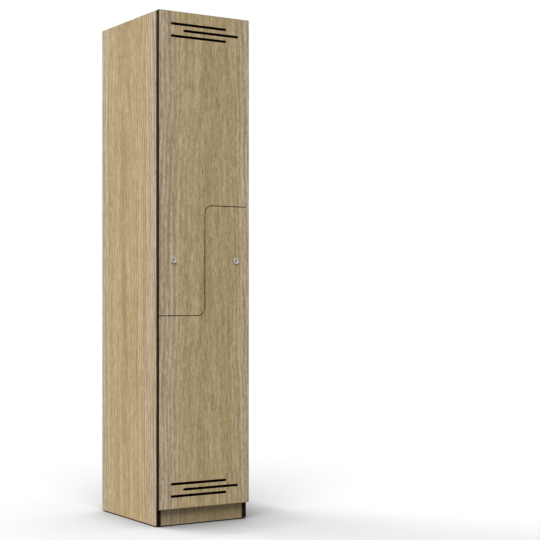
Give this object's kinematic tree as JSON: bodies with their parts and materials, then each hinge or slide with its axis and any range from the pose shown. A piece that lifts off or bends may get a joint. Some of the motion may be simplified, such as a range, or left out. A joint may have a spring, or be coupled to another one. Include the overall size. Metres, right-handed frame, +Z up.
{
  "type": "z locker",
  "caption": "Tall laminated board locker whose two L-shaped doors interlock in a Z, each with a cam lock, vent slots and concealed hinges.",
  "frame": {"origin": "on the floor, under the middle of the bounding box", "axes": "+Z up, the doors face -Y, +X to the right as seen from the front"},
  "size_m": [0.38, 0.4596, 1.85],
  "materials": {
    "oak_laminate": "matt oak decor laminate with a fine upright grain",
    "black_edging": "satin black plastic edging",
    "black_plastic": "moulded black plastic",
    "nickel": "satin nickel plate",
    "steel": "bright zinc-plated steel"
  },
  "bodies": {
    "carcass": {"left_side_panel": "oak_laminate", "right_side_panel": "oak_laminate", "top_panel": "oak_laminate", "bottom_panel": "oak_laminate", "back_panel": "oak_laminate", "kick_plate": "oak_laminate", "rear_rail": "oak_laminate", "partition": "oak_laminate", "upper_shelf": "oak_laminate", "lower_shelf": "oak_laminate", "left_side_edging": "black_edging", "right_side_edging": "black_edging", "top_edging": "black_edging", "bottom_edging": "black_edging", "partition_edging": "black_edging", "upper_shelf_edging": "black_edging", "lower_shelf_edging": "black_edging", "left_front_glide": "black_plastic", "left_rear_glide": "black_plastic", "right_front_glide": "black_plastic", "right_rear_glide": "black_plastic", "upper_strike": "steel", "lower_strike": "steel", "upper_coat_hook": "nickel", "lower_coat_hook": "nickel", "upper_low_hinge_arm": "steel", "upper_low_hinge_mounting_plate": "steel", "upper_high_hinge_arm": "steel", "upper_high_hinge_mounting_plate": "steel", "lower_low_hinge_arm": "steel", "lower_low_hinge_mounting_plate": "steel", "lower_high_hinge_arm": "steel", "lower_high_hinge_mounting_plate": "steel"},
    "upper_front_links": {"upper_low_hinge_front_link": "steel", "upper_high_hinge_front_link": "steel"},
    "upper_door": {"upper_door_panel": "oak_laminate", "upper_door_edging": "black_edging", "upper_low_hinge_cup": "steel", "upper_high_hinge_cup": "steel", "upper_lock_housing": "nickel", "upper_lock_nut": "nickel"},
    "upper_rear_links": {"upper_low_hinge_rear_link": "steel", "upper_high_hinge_rear_link": "steel"},
    "upper_lock_core": {"upper_lock_core": "nickel", "upper_lock_cam": "steel", "upper_lock_cam_screw": "steel"},
    "lower_front_links": {"lower_low_hinge_front_link": "steel", "lower_high_hinge_front_link": "steel"},
    "lower_door": {"lower_door_panel": "oak_laminate", "lower_door_edging": "black_edging", "lower_low_hinge_cup": "steel", "lower_high_hinge_cup": "steel", "lower_lock_housing": "nickel", "lower_lock_nut": "nickel"},
    "lower_rear_links": {"lower_low_hinge_rear_link": "steel", "lower_high_hinge_rear_link": "steel"},
    "lower_lock_core": {"lower_lock_core": "nickel", "lower_lock_cam": "steel", "lower_lock_cam_screw": "steel"}
  },
  "joints": [
    {"name": "upper_front_link_swing", "type": "hinge", "parent": "carcass", "child": "upper_front_links", "pos_m": [0.1661, -0.18675, 1.496], "axis": [0, 0, 1], "range_deg": [-41.81, 0]},
    {"name": "upper_door_swing", "type": "hinge", "parent": "upper_front_links", "child": "upper_door", "pos_m": [0.1823, -0.21005, 1.496], "axis": [0, 0, 1], "range_deg": [0, 136.8]},
    {"name": "upper_rear_link_swing", "type": "hinge", "parent": "upper_door", "child": "upper_rear_links", "pos_m": [0.1786, -0.21585, 1.496], "axis": [0, 0, 1], "range_deg": [-108.79, 0]},
    {"name": "upper_lock_turn", "type": "hinge", "parent": "upper_door", "child": "upper_lock_core", "pos_m": [-0.132, -0.22525, 0.957], "axis": [0, 1, 0], "range_deg": [0, 90]},
    {"name": "lower_front_link_swing", "type": "hinge", "parent": "carcass", "child": "lower_front_links", "pos_m": [-0.1661, -0.18675, 0.4175], "axis": [0, 0, -1], "range_deg": [-41.81, 0]},
    {"name": "lower_door_swing", "type": "hinge", "parent": "lower_front_links", "child": "lower_door", "pos_m": [-0.1823, -0.21005, 0.4175], "axis": [0, 0, -1], "range_deg": [0, 136.8]},
    {"name": "lower_rear_link_swing", "type": "hinge", "parent": "lower_door", "child": "lower_rear_links", "pos_m": [-0.1786, -0.21585, 0.4175], "axis": [0, 0, -1], "range_deg": [-108.79, 0]},
    {"name": "lower_lock_turn", "type": "hinge", "parent": "lower_door", "child": "lower_lock_core", "pos_m": [0.132, -0.22525, 0.957], "axis": [0, -1, 0], "range_deg": [0, 90]}
  ],
  "couplings": [
    {"joint": "upper_front_link_swing", "follows": "upper_door_swing", "ratio": -0.30556},
    {"joint": "upper_rear_link_swing", "follows": "upper_door_swing", "ratio": -0.79521},
    {"joint": "lower_front_link_swing", "follows": "lower_door_swing", "ratio": -0.30556},
    {"joint": "lower_rear_link_swing", "follows": "lower_door_swing", "ratio": -0.79521}
  ]
}
